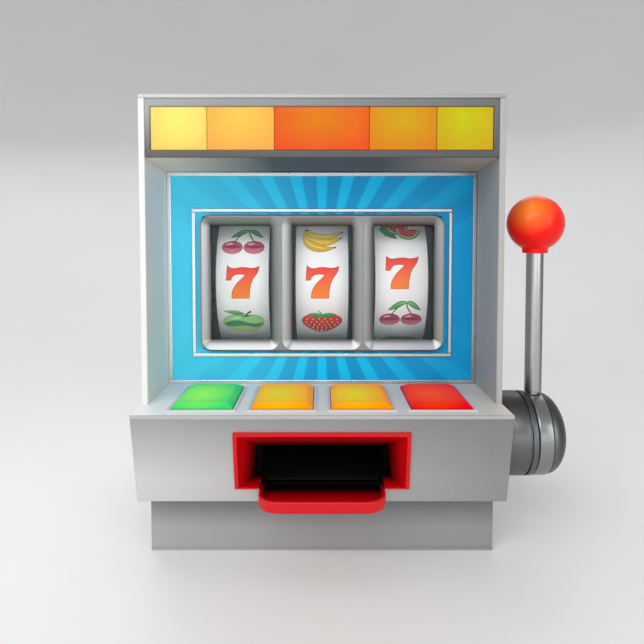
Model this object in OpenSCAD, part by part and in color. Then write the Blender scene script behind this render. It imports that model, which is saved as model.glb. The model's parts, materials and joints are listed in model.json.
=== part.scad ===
// Countertop slot machine: cabinet with a lit header, a recessed display with three
// reels, four buttons on a deck, a coin tray and a side lever.
// Millimetres. +X is the lever side, -Y is the front, +Z is up. The origin is the
// centre of the cabinet's underside.

/* [Cabinet] */
// Width over the side panels
body_w = 350; // [344:2:370]
// Depth from the front edges of the side panels to the back
body_d = 300; // [296:2:320]
// Height from the underside to the top
body_h = 450; // [446:2:470]
// Thickness of the side panels and rear frame
panel_t = 6; // [5:0.5:7]
// Thickness of the sheet-metal covers
sheet_t = 3; // [2.5:0.5:3.5]
// Height of the plinth
plinth_h = 64; // [60:1:66]
// How far the plinth stands in from the sides
plinth_inset = 4; // [2:1:6]
// Height of the button deck's top face
deck_z = 152; // [150:1:154]
// How far the deck stands forward of the side panels' front edges
nose_d = 35; // [32:1:38]
// How far the belly's foot is forward of the side panels' front edges
belly_foot_d = 17; // [15:1:19]
// Depth of the display behind the side panels' front edges
recess_d = 77; // [75:1:80]

/* [Header] */
// Height of the header's front frame
header_h = 56; // [52:1:60]
// Width of the header frame's border
header_border = 7; // [5:0.5:8]
// How far the header's underside drops towards the display
soffit_drop = 5.5; // [3:0.5:8]

/* [Reels] */
// Distance between neighbouring reels' centres
reel_pitch = 89.4; // [88:0.2:91]
// Radius over the printed strip
reel_r = 92; // [88:1:93]
// Width of a reel over its rims
reel_w = 61; // [58:1:64]
// Height of the reels' axis
reel_z = 263.5; // [260:0.5:267]
// Width of one reel window
window_w = 66; // [62:1:68]
// Height of one reel window
window_h = 125; // [115:1:130]

/* [Buttons] */
// Width of a button cap
button_w = 58; // [54:1:60]
// Depth of a button cap, front to back
button_d = 78; // [72:1:80]
// Distance between neighbouring buttons' centres
button_pitch = 75.3; // [74:0.1:77]
// Travel of a button
button_travel = 4; // [3:0.5:4]

/* [Lever] */
// Height of the lever's axis
lever_z = 111; // [109:1:113]
// How far the lever's axis is behind the side panels' front edges
lever_y_in = 39; // [37:1:42]
// Radius of the lever's boss
boss_r = 42.5; // [38:0.5:43]
// Length from the lever's axis to the centre of its knob
lever_length = 217; // [190:1:230]
// Radius of the knob
knob_r = 28.3; // [24:0.1:30]
// Radius of the rod
rod_r = 8.5; // [7:0.5:9]

/* [Coin tray] */
// Width over the red surround's flange
tray_w = 164; // [150:2:166]
// Width of the tray's tongue
tongue_w = 118; // [110:2:120]
// How far the tongue reaches forward of the deck's edge
tongue_d = 13; // [8:1:16]

/* [Hidden] */
$fn = 72;

silver = "#c9cbce";
dark_metal = "#6d7074";
chrome = "#b9bcc0";
red = "#e11320";
black = "#141416";

// Cabinet planes
in_x = body_w / 2 - panel_t;          // inner face of a side panel
front_y = -body_d / 2;                // front edges of the side panels
back_y = body_d / 2;                  // back of the cabinet
nose_y = front_y - nose_d;            // front edge of the deck
foot_y = front_y - belly_foot_d;      // front of the belly's foot
top_t = 4;                            // thickness of the top panel
top_z = body_h - top_t;               // top of the side panels
deck_under = deck_z - sheet_t;        // underside of the deck plate
plinth_front = front_y + 12;          // front of the plinth
plinth_back = back_y - 4;             // back of the plinth
plinth_x = body_w / 2 - plinth_inset; // outside of the plinth
board_t = 12;                         // thickness of a plinth board
base_t = 3;                           // thickness of the bottom plate
bolt_dx = 294;                        // spacing of its bolt holes
bolt_dy = 230;
bolt_r = 4.5;
belly_tilt = atan((nose_d - belly_foot_d) / (deck_under - plinth_h));

// Display planes
panel_y = front_y + recess_d;         // front face of the display panel
header_z = top_z - header_h;          // underside of the header frame
soffit_z = header_z - soffit_drop;    // top of the display
trim_w = 4.5;                         // face width of the display trim
cut_w = 262;                          // opening in the display for the reel frame
cut_h = 146;
glass_t = 2;
butt = 0.1;                           // gap where two lengths of one material butt

// Header lens: five panes, as shares of the opening's width
lens_w = 2 * in_x - 2 * header_border + 3;
lens_share = [0.165, 0.1965, 0.277, 0.1965, 0.165];
lens_gap = 0.3;

// Reels
reel_y = panel_y + sheet_t + glass_t + 7 + reel_r;
strip_t = 0.5;
rim_t = 3;
web_t = 3;
motor_side = 42;
motor_len = 34;
motor_shaft_r = 2.5;
motor_reach = 20;                     // how far a shaft goes into its motor
motor_x = 4.5;                        // motor's front face, from the reel's middle
bracket_x = motor_x + motor_len;      // bracket's near face, from the reel's middle

// Buttons
button_y = (nose_y + panel_y) / 2 - 1.5;
button_z = deck_z + 6;                // top of a cap
cap_under = deck_z - 4;               // underside of a cap
housing_floor = deck_z - 12;          // top of a housing's floor
housing_t = 2;                        // thickness of a housing's floor
housing_wall = 1.6;
slack = 0.4;                          // clearance round a cap
well_w = button_w + 2 * slack;        // inside of a housing
well_d = button_d + 2 * slack;
tub_w = well_w + 2 * housing_wall;    // outside of a housing, below the deck
tub_d = well_d + 2 * housing_wall;
stem_r = 5;
stem_drop = 1.5;                      // how far a stem reaches below the housing floor's top

// Lever, along X from the side panel outwards
lever_y = front_y + lever_y_in;
boss_x = body_w / 2;
disc_x = boss_x + 36.5;
disc_t = 15;
cap_x = disc_x + disc_t;
cap_h = 22;
shaft_r = 8;
bush_r = 14;
rod_x = disc_x + disc_t / 2;
crank_x = in_x - 20;
crank_t = 7.5;
crank_arm = 34;
crank_pin_y = 22;
peg_z = 30;                           // spring's anchor peg

// Mains inlet, in the back of the plinth
inlet_x = -110;
inlet_z = 34;
inlet_w = 30;
inlet_h = 22;

// Coin path
tray_floor_z = 78;                    // underside of the surround, top of the tray's rim
mouth_w = 128;                        // inner end of the surround
funnel_d = 32;
tray_z = plinth_h + sheet_t;
chute_back = panel_y + 27;
hopper_y = 32;
hopper_floor = 72;                    // underside of the hopper's floor
hopper_top = 136;
disc_z = 80;                          // underside of the hopper's disc
well_r = 48;

// Rear door
door_gap = 2;
bar_w = 20;                           // width of the rear frame's bars
door_x = in_x - bar_w - door_gap;
door_low = plinth_h + bar_w + door_gap;
door_high = top_z - bar_w - door_gap;
hinge_x = -door_x + 4;
hinge_y = back_y - panel_t / 2;
pin_r = 2;
lock_x = door_x - 22;
lock_z = (door_low + door_high) / 2;
lock_r = 8;

// --- shapes used more than once ---

// A box between two corners
module span(a, b) { translate(a) cube(b - a); }

// A box centred on the Z axis
module block(w, d, z0, z1) { span([-w / 2, -d / 2, z0], [w / 2, d / 2, z1]); }

// A bar along X, Y or Z
module xcyl(x0, x1, r) { translate([x0, 0, 0]) rotate([0, 90, 0]) cylinder(h = x1 - x0, r = r); }
module ycyl(y0, y1, r) { translate([0, y0, 0]) rotate([-90, 0, 0]) cylinder(h = y1 - y0, r = r); }
module zcyl(z0, z1, r) { translate([0, 0, z0]) cylinder(h = z1 - z0, r = r); }

// An outline in the YZ plane, extruded along X
module prism_x(x0, x1) { translate([x0, 0, 0]) rotate([90, 0, 90]) linear_extrude(x1 - x0) children(); }

// An outline in the XZ plane, extruded along Y
module prism_y(y0, y1) { translate([0, y1, 0]) rotate([90, 0, 0]) linear_extrude(y1 - y0) children(); }

// A rectangle centred on the origin with corner arcs of n steps
function round_rect(w, h, r, n = 6) = [
    for (c = [[1, 1, 0], [-1, 1, 90], [-1, -1, 180], [1, -1, 270]], i = [0:n])
        [c[0] * (w / 2 - r) + r * cos(c[2] + 90 * i / n), c[1] * (h / 2 - r) + r * sin(c[2] + 90 * i / n)]];

// Four bars round a rectangle, as separate lengths: the sides stand between the top and bottom
module four_bars(w, z0, z1, bar, y0, y1) {
    for (z = [z0, z1 - bar]) span([-w / 2, y0, z], [w / 2, y1, z + bar]);
    for (x = [-w / 2, w / 2 - bar]) span([x, y0, z0 + bar + butt], [x + bar, y1, z1 - bar - butt]);
}

// A coil spring standing on z = 0: turns of wire swept as a polyhedron
module coil(r, wire, height, turns, steps = 12, sides = 6) {
    n = turns * steps;
    rise = (height - 2 * wire) / n;
    points = [for (i = [0:n], k = [0:sides - 1])
        let (a = 360 * i / steps, b = 360 * k / sides, q = r + wire * cos(b))
        [q * cos(a), q * sin(a), wire + i * rise + wire * sin(b)]];
    faces = concat(
        [[for (k = [0:sides - 1]) k]],
        [for (i = [0:n - 1], k = [0:sides - 1]) let (a = i * sides, b = a + sides, next = (k + 1) % sides)
            [a + k, b + k, b + next, a + next]],
        [[for (k = [sides - 1:-1:0]) n * sides + k]]);
    polyhedron(points = points, faces = faces);
}

// A snap-action switch with its plunger's tip at the origin, pointing up. Its body is 10 by 28 by 16.
// A switch whose tip is below a housing's underside hangs from it on two posts
module microswitch(tip = 0, under = 0) {
    span([-5, -14, -17.3], [5, 14, -1.3]);
    zcyl(-1.4, 0, 1.5);
    if (under > tip) for (y = [-14, 9]) span([-5, y, -1.4], [5, y + 5, under - tip]);
    for (y = [-11, 0, 11]) span([-0.4, y - 1.6, -21], [0.4, y + 1.6, -17.2]);
}

module at_reel(i) { translate([(i - 2) * reel_pitch, reel_y, reel_z]) children(); }
module at_button(i) { translate([(i - 2.5) * button_pitch, button_y, 0]) children(); }
module at_lever() { translate([0, lever_y, lever_z]) children(); }

// The belly's own frame: Z runs up its sloping face and Y into the cabinet
module on_belly() { translate([0, nose_y, deck_under]) rotate([belly_tilt, 0, 0]) children(); }

// --- cabinet ---

module side_panel(x0) {
    foot_in = foot_y + sheet_t - 0.6;
    nose_in = nose_y + sheet_t + 0.1;
    prism_x(x0, x0 + panel_t) polygon([
        [back_y, plinth_h], [back_y, top_z], [front_y, top_z], [front_y, deck_under],
        [nose_in, deck_under], [foot_in, tray_z], [plinth_front, tray_z], [plinth_front, plinth_h]]);
}

module side_panel_left() { color(silver) side_panel(-body_w / 2); }

module side_panel_right() {
    color(silver) difference() {
        side_panel(in_x);
        at_lever() xcyl(in_x - 1, boss_x + 1, bush_r);
    }
}

module top_panel() {
    color(silver) span([-body_w / 2, front_y, top_z], [body_w / 2, back_y, body_h]);
}

// Sheet with bolt holes for a stand
module bottom_plate() {
    color(dark_metal) difference() {
        span([-plinth_x, plinth_front, 0], [plinth_x, plinth_back, base_t]);
        for (x = [-1, 1] * bolt_dx / 2, y = [-1, 1] * bolt_dy / 2) translate([x, y, 0])
            zcyl(-1, base_t + 1, bolt_r);
    }
}

module plinth_boards() {
    color(silver) {
        span([-plinth_x, plinth_front, base_t], [plinth_x, plinth_front + board_t, plinth_h]);
        difference() {
            span([-plinth_x, plinth_back - board_t, base_t], [plinth_x, plinth_back, plinth_h]);
            translate([inlet_x, 0, inlet_z]) prism_y(plinth_back - board_t - 1, plinth_back + 1)
                square([inlet_w, inlet_h], center = true);
        }
        side_y0 = plinth_front + board_t + butt;
        side_y1 = plinth_back - board_t - butt;
        span([-plinth_x, side_y0, base_t], [board_t - plinth_x, side_y1, plinth_h]);
        union() {
            span([plinth_x - board_t, side_y0, base_t], [plinth_x, side_y1, plinth_h]);
            translate([0, lever_y + crank_arm, peg_z]) xcyl(crank_x - 1, plinth_x - board_t + 1, 2.5);
        }
    }
}

// One bent sheet: the sloping front, with the coin tray's opening, and the flange under it
module belly_panel() {
    flange_y = plinth_front;
    color(silver) difference() {
        prism_x(-body_w / 2, body_w / 2) polygon([
            [nose_y, deck_under], [foot_y, plinth_h], [flange_y, plinth_h], [flange_y, tray_z],
            [foot_y + sheet_t - 0.6, tray_z], [nose_y + sheet_t + 0.1, deck_under]]);
        difference() {
            on_belly() span([-tray_w / 2 + 2, -5, -90], [tray_w / 2 - 2, 8, -15.5]);
            span([-body_w, nose_y - 20, 0], [body_w, front_y + 20, tray_floor_z]);
        }
        span([-tongue_w / 2, nose_y - 1, tray_z], [tongue_w / 2, front_y + 4, tray_floor_z + 0.1]);
    }
}

// Full width over the nose, and between the side panels behind their front edges
module deck_plate() {
    color(silver) difference() {
        union() {
            span([-body_w / 2, nose_y, deck_under], [body_w / 2, front_y, deck_z]);
            span([-in_x, front_y, deck_under], [in_x, panel_y + sheet_t, deck_z]);
        }
        for (i = [1:4]) at_button(i)
            block(tub_w, tub_d, deck_under - 1, deck_z + 1);
    }
}

// Places of the rear frame's screws, as [x, z]
screw_places = concat(
    [for (s = [-1, 1], z = [110, 200, 300, 390]) [s * (in_x - bar_w / 2), z]],
    [for (x = [-70, 70], z = [plinth_h + bar_w / 2, top_z - bar_w / 2]) [x, z]]);

module rear_frame() {
    color(silver) difference() {
        four_bars(2 * in_x, plinth_h, top_z, bar_w, back_y - panel_t, back_y);
        for (z = [door_low - 8, door_high - 4]) translate([hinge_x, hinge_y, z]) zcyl(0, 12, pin_r);
        for (p = screw_places) translate([p[0], 0, p[1]]) ycyl(back_y - 5, back_y + 1, 2);
    }
}

module cabinet_screws() {
    color(chrome) for (p = screw_places) translate([p[0], 0, p[1]]) {
        ycyl(back_y - 4.5, back_y + 0.1, 1.8);
        difference() {
            ycyl(back_y, back_y + 2.2, 4);
            translate([-3, back_y + 1.2, -0.5]) cube([6, 2, 1]);
            translate([-0.5, back_y + 1.2, -3]) cube([1, 2, 6]);
        }
    }
}

// --- header ---

lens_low = header_z + header_border;
lens_high = top_z - header_border - 1;

module header_frame() {
    color(dark_metal) prism_y(front_y, front_y + 4) difference() {
        translate([-in_x, header_z]) square([2 * in_x, header_h]);
        translate([-lens_w / 2, lens_low]) square([lens_w, lens_high - lens_low]);
    }
}

function lens_start(i) = i == 0 ? 0 : lens_start(i - 1) + lens_share[i - 1];

module header_lens(i) {
    x0 = -lens_w / 2 + lens_w * lens_start(i) + (i == 0 ? 0 : lens_gap / 2);
    x1 = -lens_w / 2 + lens_w * (lens_start(i) + lens_share[i]) - (i == 4 ? 0 : lens_gap / 2);
    span([x0, front_y + 1, lens_low], [x1, front_y + 4, lens_high]);
}

module header_lens_yellow() { color("#f2e500") { header_lens(0); header_lens(4); } }
module header_lens_amber() { color("#f8a913") { header_lens(1); header_lens(3); } }
module header_lens_orange() { color("#ef5a0c") header_lens(2); }

module header_reflector() {
    y0 = front_y + 4;
    color("white") difference() {
        span([-lens_w / 2 - 3, y0, lens_low - 3], [lens_w / 2 + 3, y0 + 26, lens_high + 3]);
        span([-lens_w / 2, y0 - 1, lens_low], [lens_w / 2, y0 + 24, lens_high]);
    }
}

module header_led_strip() {
    y1 = front_y + 28;
    z = (lens_low + lens_high) / 2;
    led_pitch = 32;
    color("#e8e8e0") {
        span([-150, y1 - 1.6, z - 6], [150, y1, z + 6]);
        for (i = [-4:4]) translate([i * led_pitch, 0, z])
            prism_y(y1 - 3.2, y1 - 1.5) square(5, center = true);
    }
}

module header_soffit() {
    y0 = front_y + 4;
    y1 = panel_y + sheet_t;
    color(dark_metal) prism_x(-in_x, in_x) polygon([
        [y0, header_z], [y1, soffit_z], [y1, soffit_z + sheet_t], [y0, header_z + sheet_t]]);
}

// --- display ---

module display_panel() {
    color("#0097d6") prism_y(panel_y, panel_y + sheet_t) difference() {
        translate([-in_x, deck_z]) square([2 * in_x, soffit_z - deck_z]);
        translate([-cut_w / 2, reel_z - cut_h / 2]) square([cut_w, cut_h]);
    }
}

module display_trim() {
    color(chrome) four_bars(2 * in_x, deck_z, soffit_z, trim_w, panel_y - 3, panel_y);
}

module reel_surround_trim() {
    surround_w = 285;
    surround_h = 163;
    z0 = reel_z - surround_h / 2;
    color(chrome) four_bars(surround_w, z0, z0 + surround_h, 4, panel_y - 2.5, panel_y);
}

// Plate with three bevelled windows, and a lip that seats in the display's opening
module reel_frame() {
    bevel = 7;
    y0 = panel_y - 7;
    y1 = panel_y + sheet_t;
    color(chrome) difference() {
        union() {
            translate([0, 0, reel_z]) prism_y(y0, panel_y) polygon(round_rect(266, 150, 10));
            translate([0, 0, reel_z]) prism_y(panel_y - 0.1, y1) square([cut_w, cut_h], center = true);
        }
        for (i = [1:3]) translate([(i - 2) * reel_pitch, 0, reel_z]) {
            prism_y(y0 - 1, y1 + 1) square([window_w, window_h], center = true);
            hull() {
                prism_y(y0 - 0.1, y0) polygon(round_rect(window_w + 2 * bevel, window_h + 2 * bevel, 8, 4));
                prism_y(y0 + 5.9, y0 + 6) polygon(round_rect(window_w, window_h, 1, 4));
            }
        }
    }
}

module reel_glass() {
    y0 = panel_y + sheet_t;
    color([0.8, 0.9, 0.95, 0.3]) translate([0, 0, reel_z]) prism_y(y0, y0 + glass_t)
        square([cut_w + 12, cut_h + 12], center = true);
}

// --- reels ---

module reel_shelf() {
    color(dark_metal) span([-in_x, panel_y + sheet_t, deck_under], [in_x, reel_y + 44, deck_z]);
}

// Bent plates that carry the motors, each with two screw holes in its foot
module reel_brackets() {
    foot = 11;
    z0 = deck_z - reel_z;
    color(dark_metal) for (i = [1:3]) at_reel(i) translate([bracket_x, 0, z0]) difference() {
        union() {
            span([0, -32, 0], [2, 32, 32 - z0]);
            span([0, -32, 0], [foot, 32, 2]);
        }
        for (y = [-24, 24]) translate([foot / 2 + 1, y, 0]) zcyl(-1, 3, 2);
    }
}

// A square stepper motor along Z, with its face at z = 0 and a round boss above it
module motor() {
    corner = 5;
    s = motor_side / 2;
    difference() {
        union() {
            translate([0, 0, -motor_len]) linear_extrude(motor_len) polygon([
                for (c = [[1, 1], [-1, 1], [-1, -1], [1, -1]], k = [0, 1])
                    let (flip = (c[0] * c[1] > 0) ? k : 1 - k)
                    [c[0] * (s - corner * flip), c[1] * (s - corner * (1 - flip))]]);
            zcyl(-0.1, 2, 11);
        }
        zcyl(-motor_reach, 3, motor_shaft_r + 0.05);
    }
}

// One in each reel, and one under the coin hopper
module drive_motors() {
    color("#2b2d30") {
        for (i = [1:3]) at_reel(i) translate([motor_x, 0, 0]) rotate([0, -90, 0]) motor();
        translate([0, hopper_y, hopper_floor]) motor();
    }
}

// Rim with two edge flanges, a web with six lightening holes, and a hub on the motor's shaft
module reel_drum(i) {
    half = reel_w / 2;
    rim_r = reel_r - strip_t;
    color("#e9e9ea") at_reel(i) difference() {
        union() {
            difference() {
                union() {
                    xcyl(-half, half, rim_r);
                    for (x = [-half, half - 1]) xcyl(x, x + 1, reel_r + 0.8);
                }
                xcyl(web_t - half, half + 1, rim_r - rim_t);
            }
            xcyl(-half, -16, 10);
        }
        xcyl(-half - 1, -15, motor_shaft_r);
        for (k = [0:5]) rotate([60 * k, 0, 0]) translate([0, 48, 0]) xcyl(-half - 1, web_t - half + 1, 17);
    }
}

module reel_strip(i) {
    half = reel_w / 2 - 1;
    color("white") at_reel(i) difference() {
        xcyl(-half, half, reel_r);
        xcyl(-half - 1, half + 1, reel_r - strip_t);
    }
}

module reel_shaft(i) {
    color(chrome) at_reel(i) xcyl(-reel_w / 2, motor_x + motor_reach - 1, motor_shaft_r);
}

// --- buttons ---

// Bezel on the deck with a tub under it, and a hole for the cap's stem
module button_housings() {
    rim = 3.2;
    color("#dfe1e6") for (i = [1:4]) at_button(i) difference() {
        union() {
            block(well_w + 2 * rim, well_d + 2 * rim, deck_z, deck_z + 1.2);
            block(tub_w, tub_d, housing_floor - housing_t, deck_z + 0.1);
        }
        block(well_w, well_d, housing_floor, deck_z + 2);
        zcyl(housing_floor - housing_t - 1, housing_floor + 1, stem_r + 0.4);
    }
}

module button_springs() {
    color(chrome) for (i = [1:4]) at_button(i) translate([0, 0, housing_floor])
        coil(9, 0.6, cap_under - housing_floor, 4);
}

// Four under the buttons and one beside the lever's crank. A pressed stem stops just above its plunger
module microswitches() {
    gap = 0.2;
    tip = housing_floor - stem_drop - button_travel - gap;
    color("#23262b") {
        for (i = [1:4]) at_button(i) translate([0, 0, tip]) microswitch(tip, housing_floor - housing_t);
        at_lever() translate([in_x - 5, crank_pin_y, -3 - gap]) microswitch();
    }
}

module button_cap(i) {
    bevel = 5;
    step = 3.5;
    at_button(i) {
        hull() {
            block(button_w, button_d, cap_under, button_z - step);
            block(button_w - 2 * bevel, button_d - 2 * bevel, button_z - 0.1, button_z);
        }
        zcyl(housing_floor - stem_drop, cap_under + 0.5, stem_r);
    }
}

module button_green() { color("#4fd95b") button_cap(1); }
module button_yellow_left() { color("#f3c515") button_cap(2); }
module button_yellow_right() { color("#f3c515") button_cap(3); }
module button_red() { color("#f0301c") button_cap(4); }

// --- coin tray ---

// A wedge that narrows into the belly: half widths and tops at its mouth and inner end
module funnel(grow) {
    hull() {
        span([-tray_w / 2 + 4 - grow, -2, -95], [tray_w / 2 - 4 + grow, -1.9, -17.5 + grow]);
        span([-mouth_w / 2 - grow, funnel_d - 0.1, -95], [mouth_w / 2 + grow, funnel_d, -47 + grow]);
    }
}

module tray_surround() {
    color(red) difference() {
        on_belly() difference() {
            union() {
                span([-tray_w / 2, -2, -95], [tray_w / 2, 0, -13.3]);
                funnel(2);
            }
            funnel(0);
            span([-mouth_w / 2, funnel_d - 1, -95], [mouth_w / 2, funnel_d + 1, -47]);
            span([4 - tray_w / 2, -3, -95], [tray_w / 2 - 4, -1.8, -17.5]);
        }
        span([-body_w, nose_y - 50, 0], [body_w, front_y + 60, tray_floor_z]);
    }
}

// Tongue with a raised rim, resting on the belly's flange
module coin_tray() {
    y0 = nose_y - tongue_d;
    y1 = front_y + 8;
    length = y1 - y0;
    rim = 3.5;
    corner = 20;
    color(red) difference() {
        translate([0, y0 + length, tray_z]) linear_extrude(tray_floor_z - tray_z) intersection() {
            polygon(round_rect(tongue_w, 2 * length, corner, 8));
            translate([-tongue_w, -length]) square([2 * tongue_w, length]);
        }
        translate([0, y1, tray_z + 4]) linear_extrude(20)
            polygon(round_rect(tongue_w - 2 * rim, 2 * (length - rim), corner - rim, 8));
    }
}

module payout_chute() {
    w = mouth_w / 2;
    color(black) difference() {
        span([-w - 2, front_y - 2, tray_z + 4], [w + 2, chute_back, 112]);
        span([-w, front_y - 3, tray_z + 6], [w, chute_back - 2, 110]);
        span([-18, chute_back - 3, 79], [18, chute_back + 1, 92]);
        on_belly() span([-body_w, -50, -120], [body_w, funnel_d, 20]);
        span([-tongue_w / 2, front_y - 3, tray_z], [tongue_w / 2, front_y + 8, tray_floor_z]);
    }
}

// Bin that narrows to a round well for the disc, with a slot towards the chute and a skirt
// under it for the motor
module coin_hopper() {
    half_d = hopper_y - chute_back;
    inner_w = 112;
    inner_d = 2 * half_d - 8;
    color("#3b4046") translate([0, hopper_y, 0]) difference() {
        block(inner_w + 8, 2 * half_d, base_t, hopper_top);
        hull() {
            zcyl(disc_z + 12, disc_z + 12.1, well_r);
            block(inner_w, inner_d, hopper_top, hopper_top + 1);
        }
        zcyl(disc_z - 1, disc_z + 12.1, well_r);
        zcyl(hopper_floor - 1, disc_z, 12);
        span([-16, -half_d - 1, disc_z], [16, -30, disc_z + 10]);
        block(inner_w, inner_d, base_t - 1, hopper_floor);
    }
}

module hopper_disc() {
    color("#c8a24a") translate([0, hopper_y, disc_z]) difference() {
        union() {
            zcyl(0, 4, well_r - 0.5);
            translate([0, 0, 4]) cylinder(h = 8, r1 = 12, r2 = 5);
            zcyl(hopper_floor - motor_reach + 1 - disc_z, 0.1, motor_shaft_r);
        }
        for (k = [0:5]) rotate([0, 0, 60 * k]) translate([31, 0, 0]) zcyl(-1, 5, 12);
    }
}

// --- electrics ---

// Board on the left side panel, with its chips, connectors and capacitors
module control_board() {
    x = -in_x;
    color("#1d6b3a") {
        span([x + 5, -20, 180], [x + 6.6, 110, 330]);
        for (y = [-14, 104], z = [186, 324]) translate([0, y, z]) xcyl(x, x + 5.1, 3);
        for (y = [0, 45], z = [205, 260]) span([x + 6.5, y, z], [x + 10, y + 26, z + 26]);
        for (k = [0:4]) span([x + 6.5, 2 + 21 * k, 302], [x + 16, 17 + 21 * k, 312]);
        for (z = [200, 222, 244]) translate([0, 92, z]) xcyl(x + 6.5, x + 24, 7);
    }
}

module power_supply() {
    color("#9fa3a8") difference() {
        span([-136, 10, base_t], [-70, 106, 52]);
        for (k = [0:7]) span([-127 + 6.4 * k, 20, 50], [-124 + 6.4 * k, 96, 53]);
    }
}

// Three-pole socket with its flange outside the plinth, and no cord
module power_inlet() {
    y1 = plinth_back;
    color(black) translate([inlet_x, 0, inlet_z]) difference() {
        union() {
            prism_y(y1, y1 + 2) square([inlet_w + 10, inlet_h + 4], center = true);
            prism_y(y1 - 24, y1 + 0.1) square([inlet_w, inlet_h], center = true);
        }
        difference() {
            prism_y(y1 - 14, y1 + 3) square([24, 16], center = true);
            for (p = [[-7, -2], [0, 3], [7, -2]]) translate([p[0], 0, p[1]])
                prism_y(y1 - 15, y1 - 4) square([2, 4], center = true);
        }
    }
}

// --- lever ---

// Turned boss: a drum with a groove and a shoulder, bored for the bush
module lever_boss() {
    color(dark_metal) at_lever() difference() {
        union() {
            xcyl(boss_x, boss_x + 28, boss_r);
            xcyl(boss_x + 27.9, boss_x + 31, boss_r - 2);
            xcyl(boss_x + 30.9, disc_x - 0.5, boss_r);
        }
        xcyl(boss_x - 1, disc_x, bush_r);
    }
}

module lever_bushing() {
    color("#b08d4c") at_lever() difference() {
        xcyl(in_x, disc_x - 0.5, bush_r);
        xcyl(in_x - 1, disc_x, shaft_r + 0.05);
    }
}

module lever_disc() {
    color(chrome) at_lever() difference() {
        xcyl(disc_x, cap_x, boss_r - 0.5);
        xcyl(disc_x - 1, cap_x + 1, shaft_r);
        translate([rod_x, 0, 0]) zcyl(20, boss_r + 1, rod_r - 2);
    }
}

// Half an ellipse turned about the lever's axis
module lever_cap() {
    steps = 14;
    base = boss_r - 1.5;
    color(dark_metal) at_lever() translate([cap_x, 0, 0]) rotate([0, 90, 0]) rotate_extrude()
        polygon(concat([[0, 0]],
            [for (k = [0:steps]) let (a = 90 * k / steps) [base * cos(a), cap_h * sin(a)]]));
}

module lever_rod() {
    color(chrome) at_lever() translate([rod_x, 0, 0]) {
        zcyl(20, boss_r + 1, rod_r - 2);
        zcyl(boss_r + 0.6, lever_length - knob_r + 1, rod_r);
        zcyl(lever_length - knob_r, lever_length - 8, 6);
    }
}

// Ball with a collar, threaded onto the rod
module lever_knob() {
    color("#ee2a12") at_lever() translate([rod_x, 0, lever_length]) difference() {
        union() {
            sphere(knob_r);
            zcyl(-knob_r - 2, -22, 12.5);
        }
        zcyl(-knob_r - 3, 1 - knob_r, rod_r);
        zcyl(-knob_r, -8, 6);
    }
}

module lever_shaft() { color(chrome) at_lever() xcyl(crank_x, cap_x, shaft_r); }

// Arm on the shaft's inner end, with the pin that works the switch
module lever_crank() {
    color(dark_metal) at_lever() difference() {
        union() {
            xcyl(crank_x, crank_x + crank_t, 13);
            span([crank_x, 0, -4], [crank_x + crank_t, crank_arm, 4]);
            translate([0, crank_arm, 0]) xcyl(crank_x, crank_x + crank_t, 5);
            translate([0, crank_pin_y, 0]) xcyl(crank_x + crank_t - 0.1, in_x - 2, 3);
        }
        xcyl(crank_x - 1, crank_x + crank_t + 1, shaft_r);
    }
}

// Extension spring from the peg on the plinth up to the crank's tip
module lever_spring() {
    low = peg_z + 2.6;
    high = lever_z - 5.1;
    color(chrome) translate([crank_x + crank_t / 2, lever_y + crank_arm, low])
        coil(5, 0.8, high - low, 16, 10);
}

// --- rear door ---

// Panel with two stiffening ribs inside, and two blocks of louvre slots
module rear_door() {
    y0 = back_y - panel_t;
    color(silver) difference() {
        union() {
            span([-door_x, y0, door_low], [door_x, back_y, door_high]);
            for (z = [door_low + 12, door_high - 18])
                span([-door_x + 20, y0 - 8, z], [door_x - 8, y0 + 0.1, z + 6]);
        }
        for (z = [door_low - 1, door_high - 14]) translate([hinge_x, hinge_y, z]) zcyl(0, 15, pin_r + 0.05);
        translate([lock_x, 0, lock_z]) ycyl(y0 - 1, back_y + 1, lock_r + 0.05);
        for (k = [0:6], x = [-55, 15]) span([x, y0 - 1, 330 + 9 * k], [x + 40, back_y + 1, 334 + 9 * k]);
    }
}

module door_hinge_pins() {
    color(chrome) for (z = [door_low - 8, door_high - 12]) translate([hinge_x, hinge_y, z])
        zcyl(0, 20, pin_r);
}

// Cam lock: cylinder with a key slot, a collar outside and a cam inside that hangs clear of the frame
module door_lock() {
    color(chrome) translate([lock_x, 0, lock_z]) difference() {
        union() {
            ycyl(back_y - panel_t - 0.7, back_y + 1, lock_r);
            ycyl(back_y + 0.3, back_y + 3, lock_r + 3);
            span([-4, back_y - panel_t - 2.7, -28], [4, back_y - panel_t - 0.6, 4]);
        }
        span([-0.8, back_y + 1, -5], [0.8, back_y + 4, 5]);
    }
}

// --- one node at a time ---

side_panel_left();
side_panel_right();
top_panel();
bottom_plate();
plinth_boards();
belly_panel();
deck_plate();
rear_frame();
header_frame();
header_lens_yellow();
header_lens_amber();
header_lens_orange();
header_reflector();
header_led_strip();
header_soffit();
display_panel();
display_trim();
reel_surround_trim();
reel_frame();
reel_glass();
reel_shelf();
reel_brackets();
drive_motors();
for (i = [1:3]) {
    reel_drum(i);
    reel_strip(i);
    reel_shaft(i);
}
button_housings();
button_springs();
microswitches();
button_green();
button_yellow_left();
button_yellow_right();
button_red();
tray_surround();
coin_tray();
payout_chute();
coin_hopper();
hopper_disc();
control_board();
power_supply();
power_inlet();
lever_boss();
lever_bushing();
lever_disc();
lever_cap();
lever_rod();
lever_knob();
lever_shaft();
lever_crank();
lever_spring();
rear_door();
door_hinge_pins();
door_lock();
cabinet_screws();
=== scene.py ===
"""Looks for the countertop slot machine: cabinet, header, display, reels, buttons, tray and lever.

The frame's axes are the CAD's: +X is the lever side, -Y the front, +Z up. Shapes are worked out in
millimetres, and mesh_of() turns them into metres. The stage and its lights are in metres.
"""

import json
import math

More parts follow.
